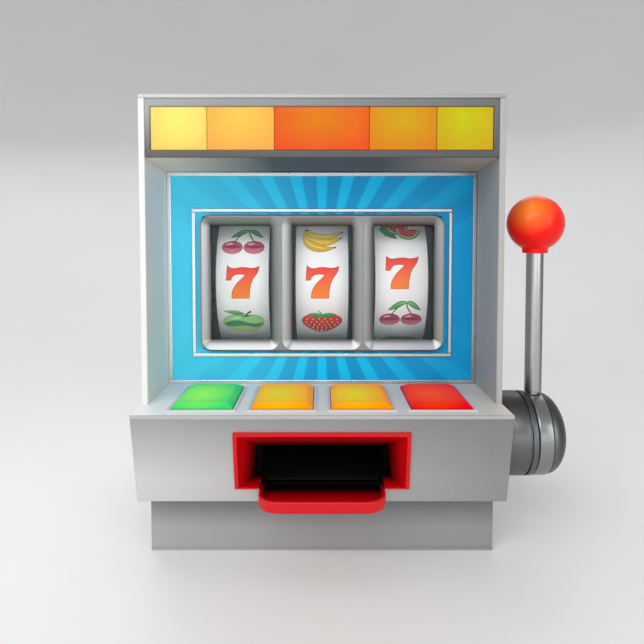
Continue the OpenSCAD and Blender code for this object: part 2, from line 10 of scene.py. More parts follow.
import bmesh
import bpy
from mathutils import Matrix, Vector

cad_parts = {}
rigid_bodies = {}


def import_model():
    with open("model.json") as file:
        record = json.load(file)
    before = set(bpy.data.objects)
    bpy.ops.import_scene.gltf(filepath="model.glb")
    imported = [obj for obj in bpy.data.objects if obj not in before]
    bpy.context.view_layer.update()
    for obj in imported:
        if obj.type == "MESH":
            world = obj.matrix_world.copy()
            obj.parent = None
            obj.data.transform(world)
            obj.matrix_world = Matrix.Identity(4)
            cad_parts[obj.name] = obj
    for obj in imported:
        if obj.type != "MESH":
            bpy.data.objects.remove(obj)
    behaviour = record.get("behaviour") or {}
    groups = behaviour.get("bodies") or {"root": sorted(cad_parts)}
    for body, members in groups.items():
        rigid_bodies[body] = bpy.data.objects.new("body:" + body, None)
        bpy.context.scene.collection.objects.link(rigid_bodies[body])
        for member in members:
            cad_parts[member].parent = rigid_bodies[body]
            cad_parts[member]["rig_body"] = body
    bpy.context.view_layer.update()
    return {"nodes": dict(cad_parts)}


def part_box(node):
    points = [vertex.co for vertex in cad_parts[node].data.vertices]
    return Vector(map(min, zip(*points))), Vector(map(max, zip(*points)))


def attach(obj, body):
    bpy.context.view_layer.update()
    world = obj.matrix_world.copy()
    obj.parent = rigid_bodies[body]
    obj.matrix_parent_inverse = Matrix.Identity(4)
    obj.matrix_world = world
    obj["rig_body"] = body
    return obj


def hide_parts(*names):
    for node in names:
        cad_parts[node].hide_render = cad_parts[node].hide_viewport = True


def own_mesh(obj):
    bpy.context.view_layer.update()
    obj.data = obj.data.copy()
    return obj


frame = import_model()
scene = bpy.context.scene
MM = 0.001


def box(node):
    """A CAD node's lowest and highest corners, in millimetres."""
    low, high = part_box(node)
    return Vector(low) / MM, Vector(high) / MM


def linear(code):
    """The linear colour of a hex code such as #c9cbce."""
    parts = [int(code[k:k + 2], 16) / 255 for k in (1, 3, 5)]
    return (*[p / 12.92 if p <= 0.04045 else ((p + 0.055) / 1.055) ** 2.4 for p in parts], 1.0)


def round_turn(steps):
    """Evenly spaced angles once round, in radians."""
    return [math.tau * k / steps for k in range(steps)]


# --- camera, light and floor ---


def make_camera():
    data = bpy.data.cameras.new("camera")
    data.lens = 31.2
    data.sensor_width = 36
    data.shift_y = -0.097
    data.clip_start = 0.01
    camera = bpy.data.objects.new("camera", data)
    camera.location = (0, -0.685, 0.316)
    camera.rotation_euler = (math.radians(87.5), 0, 0)
    scene.collection.objects.link(camera)
    scene.camera = camera


def softbox(name, place, width, height, power):
    """An area light that faces the middle of the machine."""
    data = bpy.data.lights.new(name, "AREA")
    data.shape = "RECTANGLE"
    data.size = width
    data.size_y = height
    data.energy = power
    light = bpy.data.objects.new(name, data)
    light.location = place
    light.rotation_euler = (Vector((0, 0, 0.22)) - Vector(place)).to_track_quat("-Z", "Y").to_euler()
    scene.collection.objects.link(light)


def make_lights():
    softbox("key_light", (-0.9, -1.1, 0.95), 0.7, 0.8, 6)
    softbox("fill_light", (1.1, -1.3, 0.55), 0.5, 1.0, 5)
    softbox("front_light", (-0.2, -1.5, 1.35), 1.0, 0.6, 7.5)
    softbox("low_light", (0.1, -1.7, 0.25), 1.2, 0.4, 3)
    softbox("top_light", (-0.3, 0.1, 1.8), 1.2, 1.0, 3)
    softbox("back_light", (0.9, 2.0, 2.1), 1.8, 1.2, 10)
    softbox("back_fill", (-1.3, 1.8, 1.9), 1.6, 1.2, 10)
    world = bpy.data.worlds.new("studio")
    world.use_nodes = True
    background = world.node_tree.nodes["Background"]
    background.inputs["Color"].default_value = linear("#f4f5f7")
    background.inputs["Strength"].default_value = 0.52
    scene.world = world
    scene.view_settings.view_transform = "Standard"


def make_floor():
    """A round floor that curves up into a wall all round, a long way off."""
    flat, bend = 0.9, 3.0
    profile = [(0.02, 0), (0.3, 0), (0.6, 0)]
    for degrees in range(0, 89, 4):
        a = math.radians(degrees)
        profile.append((flat + bend * math.sin(a), bend * (1 - math.cos(a))))
    rings = [[(r * math.cos(a), r * math.sin(a), z) for a in round_turn(96)] for r, z in profile]
    bm = bmesh.new()
    loft(bm, rings, True, False)
    mesh = bpy.data.meshes.new("floor")
    bm.to_mesh(mesh)
    bm.free()
    mesh.shade_smooth()
    mesh.materials.append(pale_floor("pale_floor"))
    floor = bpy.data.objects.new("floor", mesh)
    floor.location = (0, 0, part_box("bottom_plate")[0].z - 0.05 * MM)
    scene.collection.objects.link(floor)


# --- materials ---


class Paint:
    """A material's nodes. A value given to it is a number, a colour or another node's output."""

    def __init__(self, name, **settings):
        self.material = bpy.data.materials.new(name)
        self.material.use_nodes = True
        self.tree = self.material.node_tree
        self.shader = self.tree.nodes["Principled BSDF"]
        self.place = self.tree.nodes.new("ShaderNodeTexCoord").outputs["Object"]
        for socket, value in settings.items():
            self.shader.inputs[socket.replace("_", " ").title().replace("Ior", "IOR")].default_value = value

    def put(self, socket, value):
        if isinstance(value, bpy.types.NodeSocket):
            self.tree.links.new(value, socket)
        else:
            socket.default_value = value

    def calc(self, operation, *values):
        node = self.tree.nodes.new("ShaderNodeMath")
        node.operation = operation
        for socket, value in zip(node.inputs, values):
            self.put(socket, value)
        return node.outputs[0]

    def spread(self, value, low, high, to_low=0.0, to_high=1.0):
        """The value's range from low to high, carried to another range."""
        node = self.tree.nodes.new("ShaderNodeMapRange")
        for socket, number in zip(node.inputs, (value, low, high, to_low, to_high)):
            self.put(socket, number)
        return node.outputs[0]

    def mix(self, factor, first, second):
        node = self.tree.nodes.new("ShaderNodeMix")
        node.data_type = "RGBA"
        colours = [socket for socket in node.inputs if socket.type == "RGBA"]
        self.put(node.inputs[0], factor)
        self.put(colours[0], first)
        self.put(colours[1], second)
        return [socket for socket in node.outputs if socket.type == "RGBA"][0]

    def axes(self):
        node = self.tree.nodes.new("ShaderNodeSeparateXYZ")
        self.put(node.inputs[0], self.place)
        return node.outputs

    def facing(self):
        """The surface normal's X, Y and Z."""
        node = self.tree.nodes.new("ShaderNodeSeparateXYZ")
        self.put(node.inputs[0], self.tree.nodes.new("ShaderNodeNewGeometry").outputs["Normal"])
        return node.outputs

    def noise(self, scale, detail):
        node = self.tree.nodes.new("ShaderNodeTexNoise")
        node.inputs["Scale"].default_value = scale
        node.inputs["Detail"].default_value = detail
        self.put(node.inputs["Vector"], self.place)
        return node.outputs[0]

    def bump(self, height, strength, depth):
        node = self.tree.nodes.new("ShaderNodeBump")
        node.inputs["Strength"].default_value = strength
        node.inputs["Distance"].default_value = depth
        self.put(node.inputs["Height"], height)
        self.put(self.shader.inputs["Normal"], node.outputs[0])

    def finish(self, colour, roughness, shade, scale, grain, relief):
        """Colour that drifts a little over the surface, and fine grain in its gloss and relief."""
        drift = self.noise(scale, 4)
        fine = self.noise(grain, 2)
        node = self.tree.nodes.new("ShaderNodeHueSaturation")
        self.put(node.inputs["Color"], colour)
        self.put(node.inputs["Value"], self.spread(drift, 0.3, 0.7, 1 - shade, 1 + shade))
        self.put(self.shader.inputs["Base Color"], node.outputs[0])
        low, high = roughness
        self.put(self.shader.inputs["Roughness"], self.spread(fine, 0.3, 0.7, low, high))
        self.bump(fine, relief, 0.05 * MM)
        return node.outputs[0]

    def distance(self, centre, reach):
        """How far a point is from a centre, as a share of a reach along each axis, in millimetres."""
        squares = []
        for axis, middle, size in zip(self.axes(), centre, reach):
            share = self.calc("DIVIDE", self.calc("SUBTRACT", axis, middle * MM), size * MM)
            squares.append(self.calc("POWER", self.calc("ABSOLUTE", share), 2.0))
        return self.calc("SQRT", self.calc("ADD", self.calc("ADD", squares[0], squares[1]), squares[2]))


def metallic_paint(name, code, *fades, metallic=0.15, roughness=(0.40, 0.52), coat=0.08):
    """Lacquered paint with fine flakes. A fade is a colour, an axis, two places on it in millimetres,
    and its strength at the second place. Most of the fades given to it below are painted light and shade."""
    paint = Paint(name, metallic=metallic, coat_weight=coat, coat_roughness=0.2)
    base = linear(code)
    for other, axis, start, end, most in fades:
        share = paint.spread(paint.axes()[axis], start * MM, end * MM, 0.0, most)
        base = paint.mix(share, base, linear(other))
    flakes = paint.spread(paint.noise(2600, 1), 0.35, 0.65, 0.0, 0.10)
    base = paint.mix(flakes, base, (1, 1, 1, 1))
    paint.finish(base, roughness, shade=0.03, scale=9, grain=520, relief=0.12)
    return paint.material


def polished_metal(name, code, roughness=(0.07, 0.16), grain=260, relief=0.05, shade=0.03):
    paint = Paint(name, metallic=1.0)
    paint.finish(linear(code), roughness, shade=shade, scale=24, grain=grain, relief=relief)
    return paint.material


def metal_with_painted_light(name, code, *painted_tones, roughness):
    """Metal with painted light and shade: its tone changes with the way it faces, lighter or darker as if
    lit from one side. A tone is a colour, an axis, and two shares of the normal along it."""
    paint = Paint(name, metallic=1.0)
    base = linear(code)
    for other, axis, start, end in painted_tones:
        base = paint.mix(paint.spread(paint.facing()[axis], start, end), base, linear(other))
    paint.finish(base, roughness, shade=0.02, scale=24, grain=2400, relief=0.01)
    return paint.material


def plastic(name, code, roughness=(0.28, 0.40), coat=0.0, shade=0.06, grain=600):
    paint = Paint(name, coat_weight=coat, coat_roughness=0.06)
    paint.finish(linear(code), roughness, shade=shade, scale=26, grain=grain, relief=0.12)
    return paint.material


def glow_and_painted_light(name, bright, dim, centre, reach, glow, coat=0.0, gloss=0.2, roughness=(0.3, 0.4), lit=None):
    """Plastic that glows, on the faces that look along the lit axis if one is given. The bright colour is
    at the centre, and the dim one a reach away from it. The header lenses have lamps behind them; on the
    buttons and the lever's ball the glow is painted light and the bright centre a painted highlight."""
    paint = Paint(name, coat_weight=coat, coat_roughness=0.1, specular_ior_level=gloss,
                  emission_strength=glow)
    share = paint.spread(paint.distance(centre, reach), 0.0, 1.0)
    colour = paint.mix(share, linear(bright), linear(dim))
    colour = paint.finish(colour, roughness, shade=0.03, scale=40, grain=900, relief=0.01)
    if lit:
        colour = paint.mix(paint.spread(paint.facing()[lit], 0.6, 0.95), (0, 0, 0, 1), colour)
    paint.put(paint.shader.inputs["Emission Color"], colour)
    return paint.material


def plastic_with_painted_shade(name, code, deep, near, far):
    """Plastic with painted shade: its colour darkens behind the front, between two places on the Y axis
    in millimetres.
    """
    paint = Paint(name, coat_weight=0.04, coat_roughness=0.1, specular_ior_level=0.3)
    share = paint.spread(paint.axes()[1], near * MM, far * MM)
    base = paint.mix(share, linear(code), linear(deep))
    paint.finish(base, (0.28, 0.36), shade=0.04, scale=26, grain=600, relief=0.02)
    return paint.material


def ray_print(name, centre):
    """Light and dark blue rays printed from the display's centre, strongest above and below it. Painted
    light makes the left side lighter, painted shade the right side darker, and the front face has a
    painted glow.
    """
    rays = 26.0
    paint = Paint(name, coat_weight=0.03, coat_roughness=0.1, specular_ior_level=0.2,
                  emission_strength=0.24)
    axes = paint.axes()
    across = paint.calc("SUBTRACT", axes[0], centre.x * MM)
    up = paint.calc("SUBTRACT", axes[2], centre.z * MM)
    angle = paint.calc("ARCTAN2", across, up)
    wave = paint.calc("COSINE", paint.calc("MULTIPLY", angle, rays))
    steep = paint.calc("ABSOLUTE", paint.calc("COSINE", angle))
    strength = paint.spread(steep, 0.25, 0.9, 0.0, 1.0)
    light = paint.calc("MULTIPLY", paint.spread(wave, 0.0, 0.4), strength)
    base = paint.mix(light, linear("#0088bc"), linear("#00addb"))
    # painted light and shade: the print turns lighter cyan towards the left side and darker blue towards the
    # right
    left = paint.spread(across, -0.16, 0.0, 0.72, 0.0)
    right = paint.spread(across, 0.0, 0.17, 0.0, 0.45)
    base = paint.mix(left, base, linear("#52d2ee"))
    base = paint.mix(right, base, linear("#007cb0"))
    colour = paint.finish(base, (0.36, 0.48), shade=0.02, scale=20, grain=900, relief=0.02)
    # painted glow: the front face gives off its own colour, though no lamp lies behind the panel
    front = paint.spread(paint.facing()[1], -0.5, -0.9)
    paint.put(paint.shader.inputs["Emission Color"], paint.mix(front, (0, 0, 0, 1), colour))
    return paint.material


def printed_ink(name):
    """Ink in the colours that each shape carries, with a little print grain."""
    paint = Paint(name, specular_ior_level=0.08)
    node = paint.tree.nodes.new("ShaderNodeAttribute")
    node.attribute_name = "ink"
    paint.finish(node.outputs["Color"], (0.34, 0.46), shade=0.03, scale=400, grain=1500, relief=0.06)
    return paint.material


def circuit_board(name):
    """Green solder mask with copper tracks showing through as lighter lines."""
    paint = Paint(name, coat_weight=0.4, coat_roughness=0.1)
    node = paint.tree.nodes.new("ShaderNodeTexBrick")
    node.inputs["Scale"].default_value = 260
    node.inputs["Mortar Size"].default_value = 0.025
    paint.put(node.inputs["Vector"], paint.place)
    base = paint.mix(node.outputs["Fac"], linear("#14603a"), linear("#2f9159"))
    paint.finish(base, (0.25, 0.4), shade=0.08, scale=60, grain=500, relief=0.15)
    return paint.material


def clear_glass(name):
    paint = Paint(name, alpha=0.05, coat_weight=0.3, coat_roughness=0.02)
    paint.finish(linear("#9fb4bc"), (0.02, 0.05), shade=0.02, scale=10, grain=60, relief=0.02)
    return paint.material


def pale_floor(name):
    paint = Paint(name)
    paint.finish(linear("#f0f0ef"), (0.48, 0.58), shade=0.012, scale=2.2, grain=90, relief=0.04)
    return paint.material


# painted light: fades along this span make a paint lighter towards the cabinet's left side, as if lit from
# there
painted_light_span = (170, -170)        # a fade across the cabinet, from its right side to its left
header_low, header_high = box("header_frame")
plinth_top = box("plinth_boards")[1].z
belly_top = box("belly_panel")[1].z
nose = box("deck_plate")[0].y
# painted light: the silver is lighter towards the left
silver = metallic_paint("silver_paint", "#949392", ("#bfbebd", 0, *painted_light_span, 1))
# painted light and shade: lighter towards the left, and painted shade darkening the top 60 mm under the
# deck's front edge
belly_silver = metallic_paint("belly_paint", "#807f7e", ("#c4c3c2", 0, *painted_light_span, 1),
                              ("#5c5e60", 2, belly_top - 60, belly_top, 0.6))
# painted light: the side walls are lighter towards the left
wall_silver = metallic_paint("wall_paint", "#a19f9d", ("#e2e0de", 0, *painted_light_span, 1))
# painted light: the deck is lighter towards the left; its last 3 mm at the front edge turn darker grey
deck_silver = metallic_paint("deck_paint", "#d3cfc8", ("#f2f3f6", 0, *painted_light_span, 1),
                             ("#9a9a9a", 1, nose + 3, nose + 0.5, 0.9), metallic=0.0)
# painted light and shadow: lighter towards the left, and a painted shadow darkening the top 40 mm under the
# belly's overhang
plinth_grey = metallic_paint("plinth_paint", "#828282", ("#9c9c9c", 0, *painted_light_span, 1),
                             ("#3c3e40", 2, plinth_top - 40, plinth_top, 0.9))
# painted light and shade: lighter towards the left, and near black towards the bottom of the frame
header_grey = metallic_paint("header_paint", "#4e5051", ("#8f9091", 0, *painted_light_span, 1),
                             ("#292b2d", 2, header_high.z - 12, header_low.z + 4, 0.9), metallic=0.3)
# painted light and shade: the soffit is dark in its middle, painted shade, and pale towards both ends,
# painted light
soffit_grey = metallic_paint("soffit_paint", "#342c26", ("#f0e2d2", 0, -50, -170, 1),
                             ("#b5a696", 0, 60, 170, 1), metallic=0.0, roughness=(0.5, 0.6), coat=0.0)
shelf_grey = metallic_paint("shelf_paint", "#4d4f52", metallic=0.2, coat=0.05)
chrome = polished_metal("chrome", "#d4d6d9")
# painted light and shade: near black on faces turned left, dark on faces turned down, darker grey on faces
# turned right, up and straight ahead, lightest on the slanting bevels between
satin_chrome = metal_with_painted_light("satin_chrome", "#b4b6b8", ("#3e4042", 2, -0.15, -0.8), ("#8e9092", 0, 0.3, 0.9),
                         ("#1c1d1e", 0, -0.3, -0.92), ("#94969a", 2, 0.3, 0.9), ("#86888a", 1, -0.9, -0.995),
                         roughness=(0.36, 0.46))
# painted light: the trim is lighter towards the left
light_trim = metallic_paint("light_trim", "#aab2b6", ("#e8eef0", 0, *painted_light_span, 1), metallic=0.85,
                            roughness=(0.26, 0.36), coat=0.0)
steel = polished_metal("steel", "#b1b3b5", roughness=(0.20, 0.32), grain=900, relief=0.08)
# painted light and shade: lighter on faces turned left, dark on faces turned right
rod_steel = metal_with_painted_light("rod_steel", "#a9abab", ("#c9cbcb", 0, -0.1, -0.8), ("#3c3d3d", 0, 0.35, 0.85),
                      roughness=(0.22, 0.32))
# painted shade: darker on faces turned right
disc_steel = metal_with_painted_light("disc_steel", "#909292", ("#5c5e5f", 0, 0.2, 0.8), roughness=(0.26, 0.36))
zinc = polished_metal("zinc", "#a9aba6", roughness=(0.28, 0.42), shade=0.1)
# painted shade: near black on faces turned right, darker on faces turned up
gunmetal = metal_with_painted_light("gunmetal", "#6c6e70", ("#18191a", 0, 0.25, 0.9), ("#48494b", 2, 0.4, 1.0),
                     roughness=(0.34, 0.44))
bronze = polished_metal("bronze", "#b58a45", roughness=(0.30, 0.42), grain=700, relief=0.1, shade=0.1)
white_plastic = plastic("white_plastic", "#d4d7de", coat=0.2)
# painted shade: the drums are dark grey, though they are white plastic, so the gap beside each paper strip
# reads dark
drum_plastic = plastic("drum_plastic", "#3c3e41", roughness=(0.4, 0.5))
black_plastic = plastic("black_plastic", "#070708", roughness=(0.5, 0.65))
grey_plastic = plastic("grey_plastic", "#33373c", roughness=(0.45, 0.6))
paper = plastic("strip_paper", "#fafafb", roughness=(0.42, 0.52), shade=0.02, grain=1400)
board_green = circuit_board("circuit_board")
ink = printed_ink("reel_ink")
glass = clear_glass("clear_glass")

# --- making meshes ---


def piece(name, mesh, body, material, slot, *nodes):
    """An object that rides on a body, and stands for CAD nodes if any are named."""
    mesh.name = name
    mesh.materials.clear()
    mesh.materials.append(material)
    thing = bpy.data.objects.new(name, mesh)
    scene.collection.objects.link(thing)
    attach(thing, body)
    if nodes:
        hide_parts(*nodes)
    return thing


def mesh_of(bm, sharp=40):
    """The mesh of a bmesh in millimetres, smooth but for edges sharper than the angle."""
    for face in bm.faces:
        face.smooth = True
    return finished_mesh(bm, sharp)


def finished_mesh(bm, sharp):
    """The mesh of a bmesh in millimetres, which keeps its flat faces flat."""
    bmesh.ops.remove_doubles(bm, verts=bm.verts, dist=0.001)
    bmesh.ops.recalc_face_normals(bm, faces=bm.faces)
    bmesh.ops.triangulate(bm, faces=[f for f in bm.faces if len(f.verts) > 4], ngon_method="EAR_CLIP")
    bmesh.ops.scale(bm, vec=(MM, MM, MM), verts=bm.verts)
    mesh = bpy.data.meshes.new("mesh")
    smooth = [face.smooth for face in bm.faces]
    bm.to_mesh(mesh)
    bm.free()
    mesh.set_sharp_from_angle(angle=math.radians(sharp))
    mesh.polygons.foreach_set("use_smooth", smooth)
    return mesh


def flatten(thing):
    """Keeps broad faces flat beside their rounded edges."""
    modifier = thing.modifiers.new("weighted_normals", "WEIGHTED_NORMAL")
    modifier.keep_sharp = True
    modifier.weight = 80


def softened(node, radius, material, slot, segments=3):
    """A copy of a CAD node with its edges rounded, which stands for the node. Only faces on a curve
    and the roundings are smooth."""
    source = frame["nodes"][node]
    sharp = math.radians(30)
    bm = bmesh.new()
    bm.from_mesh(source.data)
    bmesh.ops.scale(bm, vec=(1 / MM, 1 / MM, 1 / MM), verts=bm.verts)
    bmesh.ops.remove_doubles(bm, verts=bm.verts, dist=0.002)
    bmesh.ops.dissolve_limit(bm, angle_limit=math.radians(0.8), verts=bm.verts, edges=bm.edges)
    edges = [e for e in bm.edges if len(e.link_faces) == 2 and e.calc_face_angle(0) > sharp]
    curved = {e for e in bm.edges if math.radians(1) < e.calc_face_angle(0) <= sharp}
    for face in bm.faces:
        face.smooth = not curved.isdisjoint(face.edges)
    bevel = bmesh.ops.bevel(bm, geom=edges, offset=radius, offset_type="OFFSET", segments=segments,
                            profile=0.5, affect="EDGES", clamp_overlap=True)
    for face in bevel["faces"]:
        face.smooth = True
    flatten(piece(node + "_body", finished_mesh(bm, 62), source["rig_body"], material, slot, node))


def paint_node(node, material):
    """Gives a CAD node that keeps its own shape a better material."""
    mesh = frame["nodes"][node].data
    mesh.materials.clear()
    mesh.materials.append(material)


def loft(bm, rings, cap_first=True, cap_last=True, closed=False):
    """Faces between rings of points that have the same count. Closed joins the last to the first."""
    rows = [[bm.verts.new(p) for p in ring] for ring in rings]
    pairs = list(zip(rows, rows[1:])) + ([(rows[-1], rows[0])] if closed else [])
    for low, high in pairs:
        for k in range(len(low)):
            n = (k + 1) % len(low)
            bm.faces.new((low[k], low[n], high[n], high[k]))
    if cap_first:
        bm.faces.new(rows[0][::-1])
    if cap_last:
        bm.faces.new(rows[-1])
    return rows


def rim(bm, row):
    """The edges round a row of vertices."""
    return [bm.edges.get((row[k], row[k - 1])) for k in range(len(row))]


def arc(cx, cy, radius, start, end, steps):
    """Points on an arc, with angles in degrees."""
    turns = [math.radians(start + (end - start) * k / steps) for k in range(steps + 1)]
    return [(cx + radius * math.cos(a), cy + radius * math.sin(a)) for a in turns]


def rounded(width, height, radius, steps=8):
    """Points round a rectangle with arcs for corners, centred on the origin."""
    points = []
    for k, (sx, sy) in enumerate(((1, 1), (-1, 1), (-1, -1), (1, -1))):
        cx, cy = sx * (width / 2 - radius), sy * (height / 2 - radius)
        points += arc(cx, cy, radius, 90 * k, 90 * k + 90, steps)
    return points


def turned(profile, steps=96):
    """A solid turned about the X axis from (x, radius) points. A radius of 0 closes an end."""
    bm = bmesh.new()
    rings = []
    for x, radius in profile:
        r = max(radius, 0.01)
        rings.append([(x, r * math.cos(a), r * math.sin(a)) for a in round_turn(steps)])
    loft(bm, rings)
    return bm


def carry(bm, matrix):
    bmesh.ops.transform(bm, matrix=matrix, verts=bm.verts)
    return bm


# --- cabinet ---


def make_cabinet():
    for side in ("side_panel_left", "side_panel_right"):
        softened(side, 0.9, wall_silver, "silver_paint")
    softened("top_panel", 1.0, silver, "silver_paint")
    softened("deck_plate", 0.7, deck_silver, "silver_paint")
    softened("belly_panel", 0.8, belly_silver, "silver_paint")
    softened("plinth_boards", 0.8, plinth_grey, "silver_paint")
    softened("rear_frame", 0.6, silver, "silver_paint")
    softened("rear_door", 0.7, silver, "silver_paint")
    softened("bottom_plate", 0.5, plinth_grey, "dark_paint")
    softened("cabinet_screws", 0.25, zinc, "zinc_steel", segments=2)
    softened("door_lock", 0.4, chrome, "chrome_trim", segments=2)


# --- header ---


def make_header():
    softened("header_frame", 1.2, header_grey, "dark_paint")
    softened("header_soffit", 0.4, soffit_grey, "dark_paint")
    low, high = box("header_lens_yellow")
    amber = box("header_lens_amber")
    orange = box("header_lens_orange")
    gap = 0.3
    edges = [low.x, amber[0].x - gap, orange[0].x - gap, orange[1].x, amber[1].x, high.x]
    # Each pane glows with the header lamps' light and is brightest high up. The right-hand yellow and amber
    # panes are darker copies of the left-hand ones: painted shade, as if lit from the left.
    looks = [("yellow", "#dad968", "#e2bc5c"), ("amber", "#dcb845", "#e09a44"),
             ("orange", "#c87400", "#d64410"), ("amber", "#bf9705", "#c77002"),
             ("yellow", "#b2b403", "#ba9403")]
    stands_for = ("header_lens_yellow", "header_lens_amber", "header_lens_orange")
    height = high.z - low.z
    for k, (kind, bright, dim) in enumerate(looks):
        left, right = edges[k] + gap / 2, edges[k + 1] - gap / 2
        width, middle = right - left, (left + right) / 2
        bright_spot = (middle, low.y, low.z + 0.72 * height)
        reach = (width * 0.68, 1000, height * 0.85)
        material = glow_and_painted_light(f"lens_{k + 1}", bright, dim, bright_spot, reach, 0.06)
        rings = []
        for inset, y in ((0, high.y), (0, low.y + 0.9), (0.3, low.y + 0.35), (1.0, low.y), (6, low.y - 0.35)):
            ring = rounded(width - 2 * inset, height - 2 * inset, max(0.4, inset * 0.8), 3)
            rings.append([(p[0] + middle, y, p[1] + low.z + height / 2) for p in ring])
        bm = bmesh.new()
        loft(bm, rings)
        flatten(piece(f"lens_pane_{k + 1}", mesh_of(bm), "cabinet", material, kind + "_lens",
                      *stands_for[k:k + 1]))


# --- display ---


def make_display():
    low, high = box("reel_frame")
    paint_node("display_panel", ray_print("ray_print", (low + high) / 2))
    softened("display_trim", 0.9, light_trim, "chrome_trim")
    softened("reel_surround_trim", 0.9, light_trim, "chrome_trim")
    paint_node("reel_glass", glass)


def reel_centres():
    centres = []
    for k in (1, 2, 3):
        low, high = box(f"reel_strip_{k}")
        centres.append((low + high) / 2)
    return centres


def make_reel_frame():
    """Chrome plate with three windows, each in a broad curved bevel, rounded outside and square inside."""
    low, high = box("reel_frame")
    centre = (low + high) / 2
    window_w, window_h = 66, 125
    bevel, depth, lip = 10.2, 5.6, 0.9
    bm = bmesh.new()
    flat_edges = []
    profile = [(0, high.y), (0, low.y + depth + lip), (0.35, low.y + depth + 0.3)]
    for degrees in range(10, 91, 10):
        rise = math.sin(math.radians(degrees))
        profile.append((lip + (bevel - lip) * rise ** 1.15, low.y + depth * (1 - rise ** 0.9)))
    for place in reel_centres():
        rings = []
        for inset, y in profile:
            ring = rounded(window_w + 2 * inset, window_h + 2 * inset, 0.8 + inset)
            rings.append([(place.x + p[0], y, centre.z + p[1]) for p in ring])
        flat_edges += rim(bm, loft(bm, rings, False, False)[-1])
    rings = []
    rounding = ((0, high.y - 3), (0, low.y + 2.4), (0.5, low.y + 1.0), (1.4, low.y + 0.25), (2.2, low.y))
    for inset, y in rounding:
        ring = rounded(high.x - low.x - 2 * inset, high.z - low.z - 2 * inset, 13 - inset)
        rings.append([(centre.x + p[0], y, centre.z + p[1]) for p in ring])
    flat_edges += rim(bm, loft(bm, rings, False, False)[-1])
    bmesh.ops.triangle_fill(bm, use_beauty=True, use_dissolve=False, edges=flat_edges)
    flatten(piece("reel_window_frame", mesh_of(bm), "cabinet", satin_chrome, "chrome_trim", "reel_frame"))


# --- reels: strips, and the symbols printed on them ---

SYMBOL_STEP = 30          # degrees between symbols, twelve to a reel


# Outlines are in millimetres about a symbol's middle. A symbol is a list of layers from the bottom up,
# each an outline with its colour at the top and at the bottom.


def placed(points, x, y, turn):
    """Points turned by some degrees and moved to a place."""
    c, s = math.cos(math.radians(turn)), math.sin(math.radians(turn))
    return [(x + u * c - v * s, y + u * s + v * c) for u, v in points]


def oval(x, y, rx, ry, turn=0, steps=30):
    return placed([(rx * math.cos(a), ry * math.sin(a)) for a in round_turn(steps)], x, y, turn)


def path(start, *strokes):
    """An outline: a point draws a line to it, and a pair of points a curve by way of the first."""
    steps = 8
    points = [start]
    for stroke in strokes:
        if isinstance(stroke[0], tuple):
            (bx, by), (cx, cy) = stroke
            ax, ay = points[-1]
            for k in range(1, steps + 1):
                t = k / steps
                points.append(((1 - t) ** 2 * ax + 2 * t * (1 - t) * bx + t * t * cx,
                               (1 - t) ** 2 * ay + 2 * t * (1 - t) * by + t * t * cy))
        else:
            points.append(stroke)
    return points[:-1] if math.dist(points[0], points[-1]) < 0.01 else points


def ribbon(points, start_width, end_width):
    """The outline of a stroke that follows points and changes width evenly along them."""
    left, right = [], []
    for k, (x, y) in enumerate(points):
        ax, ay = points[max(k - 1, 0)]
        bx, by = points[min(k + 1, len(points) - 1)]
        length = math.hypot(bx - ax, by - ay)
        half = (start_width + (end_width - start_width) * k / (len(points) - 1)) / 2
        nx, ny = -(by - ay) / length * half, (bx - ax) / length * half
        left.append((x + nx, y + ny))
        right.append((x - nx, y - ny))
    return left + right[::-1]


def grown(points, margin):
    """An outline moved outwards by a margin."""
    area = sum(a[0] * b[1] - b[0] * a[1] for a, b in zip(points, points[1:] + points[:1]))
    side = 1 if area > 0 else -1
    moved = []
    for k, (x, y) in enumerate(points):
        ax, ay = points[k - 1]
        bx, by = points[(k + 1) % len(points)]
        dx, dy = x - ax, y - ay
        ex, ey = bx - x, by - y
        d, e = math.hypot(dx, dy) or 1, math.hypot(ex, ey) or 1
        nx, ny = dy / d + ey / e, -dx / d - ex / e
        n = math.hypot(nx, ny) or 1
        reach = margin * min(2.0, 2 / n)
        moved.append((x + side * nx / n * reach, y + side * ny / n * reach))
    return moved


def seven():
    shape = path((-16.8, 18.0), ((-13.6, 14.4), (-8.0, 14.8)), ((0.0, 17.4), (7.6, 15.4)),
                 ((12.4, 14.4), (18.6, 17.2)), ((18.0, 11.0), (12.6, 5.0)), ((7.6, -2.0), (7.4, -18.2)),
                 (-11.6, -18.2), ((-12.6, -8.6), (-3.8, 0.4)), ((0.8, 4.4), (4.0, 8.2)),
                 ((-2.4, 9.8), (-7.2, 8.6)), ((-11.4, 7.6), (-13.0, 2.4)), (-17.6, 2.4))
    return [(grown(shape, 1.2), "#ffffff", "#fff2ea"), (grown(shape, 0.65), "#a00c18", "#cc4a14"),
            (shape, "#f4101f", "#ff8a1e")]


